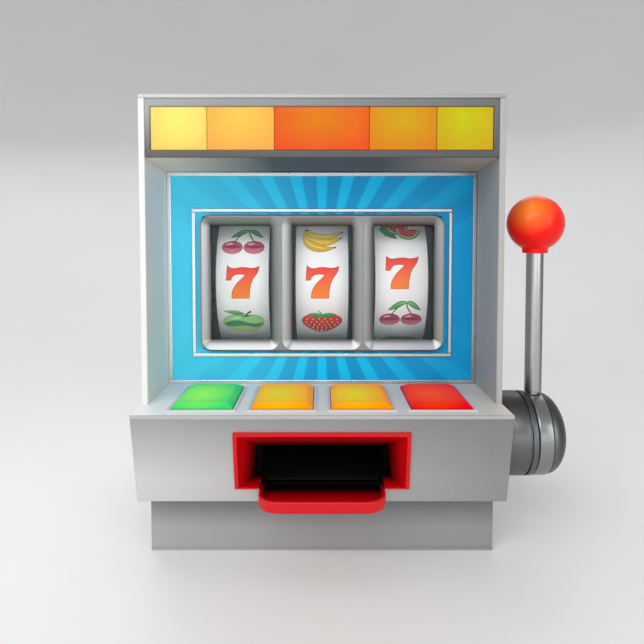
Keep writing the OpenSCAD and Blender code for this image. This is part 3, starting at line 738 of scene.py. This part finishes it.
def cherries():
    layers = []
    joint = (6.5, 14.0)
    for x, bend in ((-12.2, (-6.0, 8.0)), (12.4, (5.0, 8.0))):
        stem = path((x + 1.5, -3.0), (bend, joint))
        layers.append((ribbon(stem, 1.3, 1.8), "#2f8f3a", "#1c6b2c"))
    for sign, length in ((-1, 20.5), (1, 15.5)):
        tip = (joint[0] + sign * length, 4.5)
        leaf = path(joint, ((joint[0] + sign * length * 0.45, 18.5), tip),
                    ((joint[0] + sign * length * 0.50, 5.5), joint))
        layers.append((grown(leaf, 0.5), "#14632a", "#14632a"))
        layers.append((leaf, "#4cb852", "#1a8136"))
        rib = path(joint, ((joint[0] + sign * length * 0.45, 12.5), (joint[0] + sign * length * 0.9, 5.5)))
        layers.append((ribbon(rib, 0.8, 0.3), "#a6e09c", "#a6e09c"))
    for x in (-12.2, 12.4):
        layers.append((oval(x, -8.2, 11.9, 7.9), "#6c0a26", "#8c1638"))
        layers.append((oval(x, -8.2, 11.3, 7.3), "#a8183f", "#dc7492"))
        layers.append((path((x - 11.1, -7.2), ((x, -4.4), (x + 11.1, -7.2)), ((x, -12.2), (x - 11.1, -7.2))),
                       "#7c0a2e", "#96143c"))
        layers.append((oval(x - 3.4, -4.2, 4.2, 1.5, 8), "#f2b6c6", "#dc7a96"))
    return layers


def apple():
    body = path((0.5, 7.2), ((9.0, 10.4), (17.5, 7.2)), ((25.0, 3.5), (22.0, -4.5)),
                ((17.0, -15.4), (0.0, -15.8)), ((-17.0, -15.4), (-22.6, -4.5)),
                ((-25.0, 3.5), (-17.0, 7.2)), ((-8.0, 10.4), (0.5, 7.2)))
    wave = path((-22.9, -3.0), ((-10.0, 4.5), (2.0, -1.5)), ((12.0, -5.5), (22.6, -1.5)),
                ((20.0, -8.5), (12.0, -9.0)), ((0.0, -5.5), (-8.0, -7.5)), ((-18.0, -10.0), (-22.9, -3.0)))
    leaf = path((1.5, 9.8), ((-7.0, 16.4), (-21.5, 13.6)), ((-9.0, 7.6), (1.5, 9.8)))
    stem = path((2.0, 7.0), ((4.0, 11.0), (9.0, 13.4)))
    return [(grown(body, 0.5), "#2f8f4e", "#8fb83a"), (body, "#8fdc8c", "#dcec86"),
            (wave, "#1f8f60", "#44b272"), (oval(-9.5, 4.0, 6.5, 1.7, 6), "#d8f4d2", "#b6e8b0"),
            (oval(2.0, 7.2, 5.0, 1.3), "#2c7f4a", "#3d9c5c"), (ribbon(stem, 1.5, 2.3), "#8f2a2a", "#5d1d1a"),
            (grown(leaf, 0.4), "#3d6b48", "#3d6b48"), (leaf, "#8cca92", "#41925a")]


def bananas():
    layers = []
    looks = [(path((-19.0, 14.6), ((-16.0, 1.5), (4.0, 2.0)), ((17.0, 3.0), (23.5, 11.5)),
                   ((12.0, 8.0), (0.0, 8.6)), ((-10.0, 9.0), (-15.0, 15.4))), "#fbe83c", "#e6b800"),
             (path((-19.0, 13.6), ((-21.0, -5.0), (-2.0, -6.6)), ((12.0, -7.0), (22.0, 3.6)),
                   ((10.0, 0.8), (0.0, 2.2)), ((-12.0, 4.0), (-15.6, 14.4))), "#fbe634", "#e8b400"),
             (path((-19.4, 12.4), ((-26.0, -8.0), (-8.0, -13.0)), ((3.0, -15.4), (14.5, -8.6)),
                   ((2.0, -8.0), (-5.0, -4.6)), ((-15.0, 0.0), (-16.4, 13.2))), "#f8e02c", "#dea800")]
    for shape, top, bottom in looks:
        layers.append((grown(shape, 0.5), "#b98006", "#a66e04"))
        layers.append((shape, top, bottom))
    shines = (((-14.0, 10.0), (-9.0, 3.5), (14.0, 6.2)), ((-16.6, 6.0), (-12.0, -2.6), (10.0, -1.6)),
              ((-18.6, 2.0), (-15.0, -7.6), (3.0, -9.8)))
    for start, middle, end in shines:
        layers.append((ribbon(path(start, (middle, end)), 1.5, 0.6), "#fff7a8", "#ffef8a"))
    layers.append((oval(-17.6, 14.6, 2.2, 1.4, 20), "#7b8a1e", "#5c6a16"))
    for x, y in ((23.0, 11.2), (21.6, 3.4), (14.2, -8.6)):
        layers.append((oval(x, y, 1.6, 1.0, 25), "#4a3410", "#33240c"))
    return layers


def strawberry():
    body = path((0.0, 8.4), ((10.0, 11.0), (17.0, 8.0)), ((27.0, 3.0), (19.5, -5.5)),
                ((11.0, -14.0), (0.0, -17.4)), ((-11.0, -14.0), (-19.5, -5.5)),
                ((-27.0, 3.0), (-17.0, 8.0)), ((-10.0, 11.0), (0.0, 8.4)))
    shine = path((-17.5, 5.6), ((-9.0, 8.8), (-2.0, 6.0)), ((-10.0, 3.2), (-17.5, 5.6)))
    layers = [(grown(body, 0.5), "#8f0612", "#a60c16"), (body, "#ee1f20", "#c40714"),
              (shine, "#ff7466", "#f4443c")]
    seed_rows = ((3.6, 6, 17.0), (-0.6, 7, 18.0), (-4.8, 6, 14.5), (-8.8, 5, 10.0), (-12.6, 3, 4.6))
    for y, count, reach in seed_rows:
        for k in range(count):
            x = -reach + 2 * reach * k / (count - 1)
            layers.append((oval(x, y - 0.05 * abs(x), 0.75, 1.05, 0, 10), "#fff2b4", "#ffd676"))
    layers.append((oval(0.0, -15.4, 2.6, 0.9), "#ffd0c4", "#ff9a8c"))
    crown = (0.0, 8.6)
    for turn, length in ((172, 15.0), (205, 12.0), (250, 6.5), (290, 6.5), (335, 12.0), (8, 15.0)):
        a = math.radians(turn)
        tip = (length * math.cos(a), crown[1] + 0.62 * length * math.sin(a))
        middle = (tip[0] / 2, (tip[1] + crown[1]) / 2)
        side = (-0.24 * length * math.sin(a), 0.24 * length * math.cos(a))
        leaf = path(crown, ((middle[0] + side[0], middle[1] + side[1]), tip),
                    ((middle[0] - side[0], middle[1] - side[1]), crown))
        layers.append((grown(leaf, 0.35), "#17652b", "#17652b"))
        layers.append((leaf, "#5cc44c", "#238a36"))
    layers.append((ribbon(path(crown, ((-1.0, 12.0), (-4.5, 14.2))), 1.8, 1.2), "#7ec24e", "#4b8f36"))
    return layers


def slice_of_melon(x, y, width, turn):
    """A half-round slice with its flat side up, as layers from the rind inwards."""
    looks = [(1.0, "#0f6b33", "#158a40"), (0.93, "#38b05e", "#26964c"), (0.86, "#e4f5cf", "#d3efb8"),
             (0.79, "#f83a34", "#d20c1e")]
    layers = []
    for share, top, bottom in looks:
        layers.append((placed(arc(0, 0, width / 2 * share, 180, 360, 22), x, y, turn), top, bottom))
    for ring, count in ((0.55, 5), (0.28, 2)):
        for k in range(count):
            a = math.radians(200 + 140 * k / (count - 1))
            seed = oval(width / 2 * ring * math.cos(a), width / 2 * ring * math.sin(a), 0.6, 1.1, 0, 10)
            layers.append((placed(seed, x, y, turn), "#2a1210", "#120806"))
    return layers


def melon():
    wedge = path((-23.5, 5.0), ((-19.0, 15.0), (-6.0, 14.0)), ((-10.0, 3.0), (-4.0, -8.0)),
                 ((-18.0, -6.0), (-23.5, 5.0)))
    layers = [(grown(wedge, 0.5), "#0f5f2c", "#0f5f2c"), (wedge, "#34b45e", "#118442")]
    for shift in (0.0, 5.0, 10.0):
        stripe = path((-20.0 + shift, 11.0 - shift * 0.1), ((-18.5 + shift, 3.0), (-17.5 + shift, -5.0)))
        layers.append((ribbon(stripe, 1.2, 0.8), "#0f7a3a", "#0c5f2c"))
    return layers + slice_of_melon(-3.0, 10.5, 26.0, 14) + slice_of_melon(9.0, 5.0, 29.0, -4)


SYMBOLS = {"seven": seven(), "cherries": cherries(), "apple": apple(), "bananas": bananas(),
           "strawberry": strawberry(), "melon": melon()}
ORDERS = [
    ["seven", "cherries", "strawberry", "melon", "seven", "bananas", "apple", "cherries", "melon",
     "strawberry", "bananas", "apple"],
    ["seven", "bananas", "cherries", "apple", "melon", "seven", "strawberry", "bananas", "apple",
     "cherries", "melon", "strawberry"],
    ["seven", "melon", "apple", "bananas", "strawberry", "seven", "cherries", "melon", "apple",
     "bananas", "strawberry", "cherries"]]
REEL_TURN = (0, 0, 6.8)   # how far each reel is turned at rest, in degrees
PRINT = 0.05              # how high the lowest printed layer lies above the paper, in millimetres
LAYER = 0.012             # how much higher each layer lies than the one under it
SUNK = -0.03              # where each layer's underside lies, inside the paper


def print_shape(target, inks, outline, level, top, bottom, bend):
    """Adds one flat shape to a reel, curved round it, with its colour graded from top to bottom."""
    row_height = 2.5
    flat = bmesh.new()
    face = flat.faces.new([flat.verts.new((x, level, y)) for x, y in outline])
    low = min(y for _, y in outline)
    high = max(y for _, y in outline)
    face.normal_update()
    bmesh.ops.triangulate(flat, faces=[face], ngon_method="EAR_CLIP")
    rows = max(1, round((high - low) / row_height))
    for k in range(1, rows):
        bmesh.ops.bisect_plane(flat, geom=flat.verts[:] + flat.edges[:] + flat.faces[:], dist=1e-4,
                               plane_co=(0, 0, low + (high - low) * k / rows), plane_no=(0, 0, 1))
    side = bmesh.ops.extrude_face_region(flat, geom=flat.faces[:])
    for v in side["geom"]:
        if isinstance(v, bmesh.types.BMVert):
            v.co.y = SUNK
    bmesh.ops.recalc_face_normals(flat, faces=flat.faces)
    first, last = linear(bottom), linear(top)
    pairs = {}
    for v in flat.verts:
        share = (v.co.z - low) / max(high - low, 0.001)
        made = target.verts.new(bend(v.co))
        made[inks] = [a + (b - a) * share for a, b in zip(first, last)]
        pairs[v] = made
    for f in flat.faces:
        target.faces.new([pairs[v] for v in f.verts])
    flat.free()


def make_reel(k, place):
    """The paper strip of reel k, and its symbols as one thin printed layer."""
    body = f"reel_{k}"
    low, high = box(f"reel_strip_{k}")
    radius = (high.z - low.z) / 2
    inner, edge = radius - 0.5, radius - 0.1
    rings = []
    for x, r in ((low.x, inner), (low.x, edge), (low.x + 0.2, radius), (high.x - 0.2, radius), (high.x, edge),
                 (high.x, inner)):
        rings.append([(x, place.y - r * math.cos(a), place.z + r * math.sin(a)) for a in round_turn(180)])
    bm = bmesh.new()
    loft(bm, rings, False, False, closed=True)
    piece(f"strip_{k}", mesh_of(bm), body, paper, "reel_paper", f"reel_strip_{k}")

    target = bmesh.new()
    inks = target.verts.layers.float_color.new("ink")
    for number, name in enumerate(ORDERS[k - 1]):
        turn = math.radians(SYMBOL_STEP * number + REEL_TURN[k - 1])

        def bend(point, turn=turn):
            a = turn + point.z / radius
            r = radius + point.y
            return (place.x + point.x, place.y - r * math.cos(a), place.z + r * math.sin(a))

        for depth, (outline, top, bottom) in enumerate(SYMBOLS[name]):
            print_shape(target, inks, outline, PRINT + LAYER * depth, top, bottom, bend)
    bmesh.ops.scale(target, vec=(MM, MM, MM), verts=target.verts)
    mesh = bpy.data.meshes.new("symbols")
    target.to_mesh(mesh)
    target.free()
    piece(f"symbols_{k}", mesh, body, ink, "reel_paper")
    softened(f"reel_drum_{k}", 0.3, drum_plastic, "white_plastic", segments=2)
    paint_node(f"reel_shaft_{k}", steel)


# --- buttons ---


def make_button(node, body, slot, bright, dim):
    """A bevelled cap on a round stem. Its upward faces have a painted glow, as no lamp is inside, and a
    painted highlight towards the front left of the top.
    """
    low, high = box(node)
    centre = (low + high) / 2
    width, depth = high.x - low.x, high.y - low.y
    profile = ((0.4, 10, 1.0), (0, 9.6, 1.2), (0, 4.1, 1.2), (0.2, 3.7, 1.2), (0.6, 3.3, 1.3),
               (5.6, 0.5, 1.6), (6.1, 0.2, 1.8), (6.8, 0.05, 2.0), (12.0, 0, 4.0))
    rings = []
    for inset, drop, corner in profile:
        ring = rounded(width - 2 * inset, depth - 2 * inset, corner, 6)
        rings.append([(centre.x + p[0], centre.y + p[1], high.z - drop) for p in ring])
    bm = bmesh.new()
    loft(bm, rings)
    radius, underside = 5, high.z - 10
    stem = []
    for r, z in ((radius - 0.6, low.z), (radius, low.z + 0.6), (radius, underside)):
        stem.append([(centre.x + r * math.cos(a), centre.y + r * math.sin(a), z) for a in round_turn(32)])
    loft(bm, stem)
    # painted highlight: the bright colour sits a little left of and in front of the top's middle, and only
    # the upward faces glow, a painted glow
    bright_spot = (centre.x - 0.1 * width, centre.y - 0.05 * depth, high.z)
    reach = (width * 0.62, depth * 0.62, 12)
    material = glow_and_painted_light(node + "_plastic", bright, dim, bright_spot, reach, 0.42, gloss=0.04, lit=2)
    flatten(piece(node + "_cap", mesh_of(bm, 30), body, material, slot, node))


def make_spring(node, body):
    """A return spring with closed ends round a button's stem."""
    low, high = box("button_springs")
    cap_low, cap_high = box(node)
    centre = (cap_low + cap_high) / 2
    coil, wire, turns, steps = 9, 0.55, 5, 28
    closed = 0.7          # how much of a turn lies flat at each end
    height = high.z - low.z
    rings = []
    for i in range(turns * steps + 1):
        a = math.tau * i / steps
        share = min(max((i / steps - closed) / (turns - 2 * closed), 0), 1)
        middle = low.z + wire + (height - 2 * wire) * share
        ring = []
        for b in round_turn(8):
            r = coil + wire * math.cos(b)
            ring.append((centre.x + r * math.cos(a), centre.y + r * math.sin(a), middle + wire * math.sin(b)))
        rings.append(ring)
    bm = bmesh.new()
    loft(bm, rings)
    spring = piece(f"spring_{body}", mesh_of(bm, 60), "cabinet", steel, "satin_steel", "button_springs")
    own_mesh(spring)


def make_buttons():
    softened("button_housings", 0.35, white_plastic, "white_plastic")
    # each button's first colour is its painted highlight, the second its colour away from the highlight
    looks = (("button_green", "green_button", "green_button", "#8fe84c", "#34c264"),
             ("button_yellow_left", "yellow_button_left", "yellow_button", "#cfc604", "#e8900c"),
             ("button_yellow_right", "yellow_button_right", "yellow_button", "#cdc804", "#e6860a"),
             ("button_red", "red_button", "red_button", "#e84c00", "#d40410"))
    for node, body, slot, bright, dim in looks:
        make_button(node, body, slot, bright, dim)
        make_spring(node, body)


# --- coin tray ---


def belly_slope():
    """Y and Z of the belly's nose, and its tilt from upright."""
    low, high = box("belly_panel")
    corners = [v.co / MM for v in frame["nodes"]["belly_panel"].data.vertices]
    foot = min(corner.y for corner in corners if corner.z < low.z + 0.01)
    return low.y, high.z, math.atan2(foot - low.y, high.z - low.z)


def make_tray_surround():
    """A flange on the sloping belly round a funnel that narrows towards the chute."""
    low, high = box("tray_surround")
    nose_y, nose_z, tilt = belly_slope()
    half = (high.x - low.x) / 2
    top = (high.z - nose_z) / math.cos(tilt)
    mouth, inner_top, depth = box("payout_chute")[1].x - 2, -47, 32
    lip = 4
    proud, wall = 2.0, 2
    section = [(half - inset, top - inset, d) for inset, d in
               ((0, 0.2), (0, 0.8 - proud), (0.3, 0.2 - proud), (0.9, -proud),
                (lip - 0.9, -proud), (lip - 0.3, 0.2 - proud), (lip, 0.8 - proud))]
    outer_w, outer_top, start = section[-1]
    steps = 6
    for k in range(1, steps + 1):
        share = k / steps
        section.append((outer_w + (mouth - outer_w) * share, outer_top + (inner_top - outer_top) * share,
                        start + (depth - start) * share))
    section += [(mouth + wall, inner_top + wall, depth), (outer_w + wall, outer_top + wall, 0.2)]

    def foot(d):
        """How far down the slope the opening's foot lies, at a depth behind the belly."""
        return (low.z - nose_z - d * math.sin(tilt)) / math.cos(tilt)

    bm = bmesh.new()
    rings = []
    r = 1.5
    for w, height, d in section:
        end = foot(d)
        walk = [(-w, end), *arc(-w + r, height - r, r, 180, 90, 4), *arc(w - r, height - r, r, 90, 0, 4),
                (w, end)]
        rings.append([(x, nose_y + d * math.cos(tilt) - z * math.sin(tilt),
                       nose_z + d * math.sin(tilt) + z * math.cos(tilt)) for x, z in walk])
    rows = [[bm.verts.new(p) for p in ring] for ring in rings]
    for first, second in zip(rows, rows[1:] + rows[:1]):
        for k in range(len(first) - 1):
            bm.faces.new((first[k], first[k + 1], second[k + 1], second[k]))
    bm.faces.new([row[0] for row in rows])
    bm.faces.new([row[-1] for row in rows][::-1])
    tongue = box("coin_tray")[1].x + 0.1
    front, back = [nose_y + d * math.cos(tilt) - foot(d) * math.sin(tilt) for d in (0.1 - proud, depth)]
    for side in (-1, 1):
        corner = [(tongue, front), (half - lip / 2, front), (mouth + 1, back), (tongue, back)]
        loft(bm, [[(side * x, y, z) for x, y in corner] for z in (low.z + 0.02, low.z + 1.4)])
    # painted shade: the funnel's red darkens to near black deeper in, where the recess lies in shade
    red = plastic_with_painted_shade("funnel_red", "#cc0512", "#100001", nose_y + 17, nose_y + 40)
    flatten(piece("tray_surround_body", mesh_of(bm, 25), "cabinet", red, "red_plastic", "tray_surround"))


def make_tray():
    make_tray_surround()
    low = box("coin_tray")[0]
    # painted shadow: the tongue's red darkens to near black towards its back, under the chute
    red = plastic_with_painted_shade("tongue_red", "#cc0512", "#0c0001", low.y + 16, low.y + 40)
    softened("coin_tray", 1.6, red, "red_plastic", segments=4)
    paint_node("payout_chute", black_plastic)


# --- lever ---

UPRIGHT = Matrix.Rotation(math.radians(-90), 4, "Y")   # stands a solid turned about X on its end


def lever_axis():
    """A point on the line along X that the lever turns about."""
    low, high = box("lever_boss")
    return Vector((0, (low.y + high.y) / 2, (low.z + high.z) / 2))


def ball_place():
    """The ball's centre and radius."""
    low, high = box("lever_knob")
    ball = (high.x - low.x) / 2
    return Vector(((low.x + high.x) / 2, lever_axis().y, high.z - ball)), ball


def radius_of(node):
    """Half the height of a node that is round about the X axis."""
    low, high = box(node)
    return (high.z - low.z) / 2


def make_lever_foot():
    """The grooved boss on the cabinet, and the disc and dome that turn with the lever."""
    move = Matrix.Translation(lever_axis())
    start, end = [corner.x for corner in box("lever_boss")]
    radius = radius_of("lever_boss")
    groove = radius - 1.6
    boss = [(start, 14), (start, radius - 0.4), (start + 0.4, radius), (end - 9.2, radius)]
    boss += arc(end - 8.6, radius - 0.6, 0.6, 90, 0, 4) + [(end - 8.0, groove), (end - 5.8, groove)]
    boss += arc(end - 5.0, radius - 0.8, 0.8, 180, 90, 4) + arc(end - 1.2, radius - 1.2, 1.2, 90, 0, 5)
    boss.append((end, 14))
    mesh = mesh_of(carry(turned(boss), move), 62)
    piece("lever_boss_drum", mesh, "cabinet", gunmetal, "gunmetal", "lever_boss")

    low, high = box("lever_disc")
    radius = radius_of("lever_disc")
    edge = 2.2
    disc = [(low.x, 8), (low.x, radius - edge)] + arc(low.x + edge, radius - edge, edge, 180, 90, 6)
    disc += arc(high.x - edge, radius - edge, edge, 90, 0, 6) + [(high.x, 8)]
    mesh = mesh_of(carry(turned(disc), move), 62)
    piece("lever_turning_disc", mesh, "lever", disc_steel, "chrome_trim", "lever_disc")

    low, high = box("lever_cap")
    radius = radius_of("lever_cap")
    dome = [(low.x, 0), (low.x, radius)]
    for degrees in range(3, 91, 3):
        a = math.radians(degrees)
        dome.append((low.x + (high.x - low.x) * math.sin(a), radius * math.cos(a)))
    mesh = mesh_of(carry(turned(dome), move), 50)
    piece("lever_dome", mesh, "lever", gunmetal, "gunmetal", "lever_cap")


def make_lever_rod():
    """A rod with a thinner end in the disc and another in the ball."""
    low, high = box("lever_rod")
    axis = lever_axis()
    centre, ball = ball_place()
    rod = (high.x - low.x) / 2
    disc_end, ball_end = 6.5, 6
    foot = axis.z + radius_of("lever_boss") + 0.7
    neck = centre.z - ball + 1.0
    bars = [(low.z, disc_end), (foot, disc_end), (foot, rod - 0.8)]
    bars += arc(foot + 0.8, rod - 0.8, 0.8, 180, 90, 4)
    bars += [(neck, rod), (neck, ball_end), (high.z, ball_end)]
    place = Matrix.Translation(Vector((centre.x, axis.y, 0))) @ UPRIGHT
    mesh = mesh_of(carry(turned(bars, 64), place), 62)
    piece("lever_bar", mesh, "lever", rod_steel, "chrome_trim", "lever_rod")


def make_lever_ball():
    """A ball with a collar round the rod."""
    centre, ball = ball_place()
    rod_low, rod_high = box("lever_rod")
    hole = (rod_high.x - rod_low.x) / 2 + 0.05
    collar = 12.5
    base = box("lever_knob")[0].z - centre.z
    meet = -math.sqrt(ball ** 2 - collar ** 2)
    knob = [(base, hole), (base, collar - 0.6)] + arc(base + 0.6, collar - 0.6, 0.6, 180, 90, 4)
    knob += [(meet - 1.2, collar), (meet - 0.3, collar + 0.5)]
    knob += arc(0, 0, ball, math.degrees(math.acos((meet + 0.5) / ball)), 0, 40)
    # painted highlight: the ball is orange at its upper front left and red away from it, with a faint painted
    # glow
    bright_spot = centre + Vector((-0.42 * ball, -0.62 * ball, 0.5 * ball))
    red = glow_and_painted_light("knob_plastic", "#ee8424", "#e8100a", bright_spot, (ball * 0.95,) * 3, 0.06, coat=0.06,
                  roughness=(0.26, 0.34))
    mesh = mesh_of(carry(turned(knob), Matrix.Translation(centre) @ UPRIGHT), 50)
    piece("lever_ball", mesh, "lever", red, "red_ball", "lever_knob")


def make_lever():
    make_lever_foot()
    make_lever_rod()
    make_lever_ball()
    for node in ("lever_shaft", "lever_crank", "lever_spring"):
        paint_node(node, steel)
    paint_node("lever_bushing", bronze)


# --- inside ---


def make_inside():
    softened("reel_shelf", 0.4, shelf_grey, "dark_paint", segments=2)
    softened("reel_brackets", 0.3, shelf_grey, "dark_paint", segments=2)
    softened("drive_motors", 0.6, black_plastic, "black_plastic", segments=2)
    softened("coin_hopper", 0.6, grey_plastic, "grey_plastic", segments=2)
    softened("hopper_disc", 0.4, bronze, "bronze", segments=2)
    softened("power_supply", 0.6, steel, "satin_steel", segments=2)
    softened("power_inlet", 0.4, black_plastic, "black_plastic", segments=2)
    paint_node("control_board", board_green)
    paint_node("microswitches", black_plastic)
    paint_node("door_hinge_pins", steel)
    paint_node("header_reflector", white_plastic)
    paint_node("header_led_strip", white_plastic)


make_camera()
make_lights()
make_floor()
make_cabinet()
make_header()
make_display()
make_reel_frame()
for index, spot in enumerate(reel_centres()):
    make_reel(index + 1, spot)
make_buttons()
make_tray()
make_lever()
make_inside()
